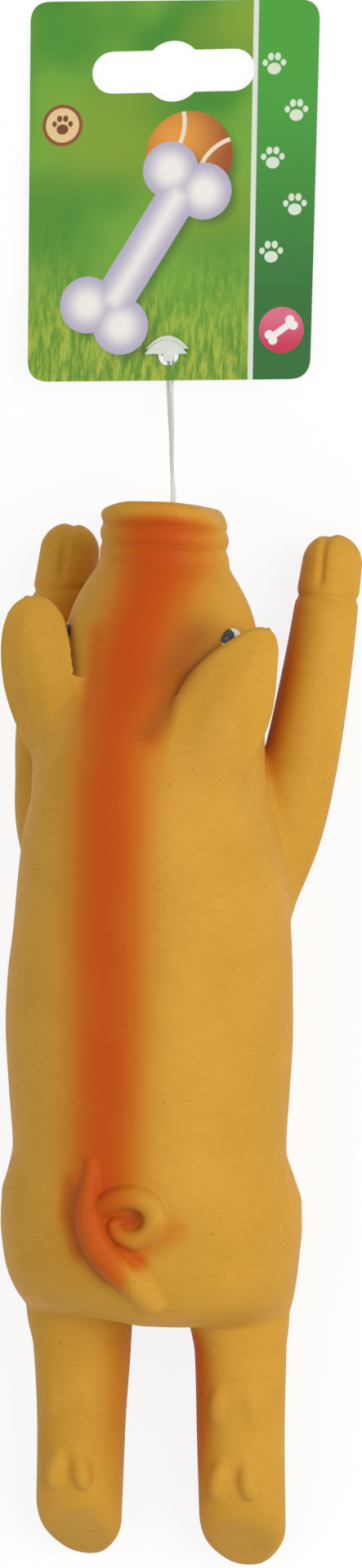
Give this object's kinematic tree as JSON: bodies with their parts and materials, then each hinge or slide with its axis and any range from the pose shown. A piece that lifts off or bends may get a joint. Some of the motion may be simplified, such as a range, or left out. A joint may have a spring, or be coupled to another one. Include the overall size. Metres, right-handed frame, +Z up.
{
  "type": "squeaky dog toy",
  "caption": "Stretched-out latex pig dog toy lying on its belly, with a belly squeaker and a printed hang card on a clear plastic loop.",
  "frame": {"origin": "on the resting surface, under the middle of the toy without its tag", "axes": "+Z up, +Y towards the snout, +X across"},
  "size_m": [0.0719, 0.3044, 0.0594],
  "materials": {
    "latex": "matte moulded latex, ochre with an airbrushed orange stripe",
    "eye_paint": "painted eye, white with a black pupil",
    "white_plastic": "natural white polyethylene",
    "reed_strip": "thin sprung brass strip",
    "printed_card": "laminated card printed in greens",
    "clear_plastic": "translucent polypropylene"
  },
  "bodies": {
    "toy_body": {"torso_skin": "latex", "head_skin": "latex", "snout_skin": "latex", "tail": "latex", "eye_left": "eye_paint", "ear_root_left": "latex", "shoulder_left": "latex", "hip_left": "latex", "eye_right": "eye_paint", "ear_root_right": "latex", "shoulder_right": "latex", "hip_right": "latex", "squeaker_housing": "white_plastic", "squeaker_cap": "white_plastic", "reed_block": "white_plastic", "reed_clamp": "white_plastic"},
    "ear_left_limb": {"ear_left": "latex"},
    "ear_right_limb": {"ear_right": "latex"},
    "foreleg_left_limb": {"foreleg_left": "latex"},
    "foreleg_right_limb": {"foreleg_right": "latex"},
    "hindleg_left_limb": {"hindleg_left": "latex"},
    "hindleg_right_limb": {"hindleg_right": "latex"},
    "reed_tongue": {"reed": "reed_strip"},
    "tag_loop": {"loop_strand_1": "clear_plastic", "loop_strand_2": "clear_plastic"},
    "tag_card": {"hang_card": "printed_card", "toggle_lower": "clear_plastic", "toggle_upper": "clear_plastic"}
  },
  "joints": [
    {"name": "ear_left_flap", "type": "hinge", "parent": "toy_body", "child": "ear_left_limb", "pos_m": [-0.0182, 0.0586, 0.0465], "axis": [0.7365, 0.3298, 0.5906], "range_deg": [-2, 40], "stiffness_Nm_per_rad": 0.01, "deforming": ["ear_root_left"]},
    {"name": "ear_right_flap", "type": "hinge", "parent": "toy_body", "child": "ear_right_limb", "pos_m": [0.018, 0.0568, 0.047], "axis": [0.7365, -0.3298, -0.5906], "range_deg": [-2, 40], "stiffness_Nm_per_rad": 0.01, "deforming": ["ear_root_right"]},
    {"name": "foreleg_left_splay", "type": "hinge", "parent": "toy_body", "child": "foreleg_left_limb", "pos_m": [-0.0255, 0.0516, 0.0139], "axis": [0, 0, 1], "range_deg": [-8, 25], "stiffness_Nm_per_rad": 0.06, "deforming": ["shoulder_left"]},
    {"name": "foreleg_right_splay", "type": "hinge", "parent": "toy_body", "child": "foreleg_right_limb", "pos_m": [0.0243, 0.0516, 0.0139], "axis": [0, 0, -1], "range_deg": [-8, 25], "stiffness_Nm_per_rad": 0.06, "deforming": ["shoulder_right"]},
    {"name": "hindleg_left_splay", "type": "hinge", "parent": "toy_body", "child": "hindleg_left_limb", "pos_m": [-0.0157, -0.0574, 0.0134], "axis": [0, 0, -1], "range_deg": [-6, 25], "stiffness_Nm_per_rad": 0.06, "deforming": ["hip_left"]},
    {"name": "hindleg_right_splay", "type": "hinge", "parent": "toy_body", "child": "hindleg_right_limb", "pos_m": [0.0162, -0.0574, 0.0134], "axis": [0, 0, 1], "range_deg": [-6, 25], "stiffness_Nm_per_rad": 0.06, "deforming": ["hip_right"]},
    {"name": "reed_flutter", "type": "hinge", "parent": "toy_body", "child": "reed_tongue", "pos_m": [0, -0.0177, 0.00573], "axis": [1, 0, 0], "range_deg": [-2, 2], "stiffness_Nm_per_rad": 0.00002},
    {"name": "tag_loop_swing", "type": "hinge", "parent": "toy_body", "child": "tag_loop", "pos_m": [0.001, 0.1029, 0.0265], "axis": [1, 0, 0], "range_deg": [0, 90], "deforming": ["loop_strand_1", "loop_strand_2"]},
    {"name": "card_swing", "type": "hinge", "parent": "tag_loop", "child": "tag_card", "pos_m": [-0.00729, 0.13244, 0.0036], "axis": [1, 0, 0], "range_deg": [0, 75], "deforming": ["loop_strand_1", "loop_strand_2"]}
  ]
}
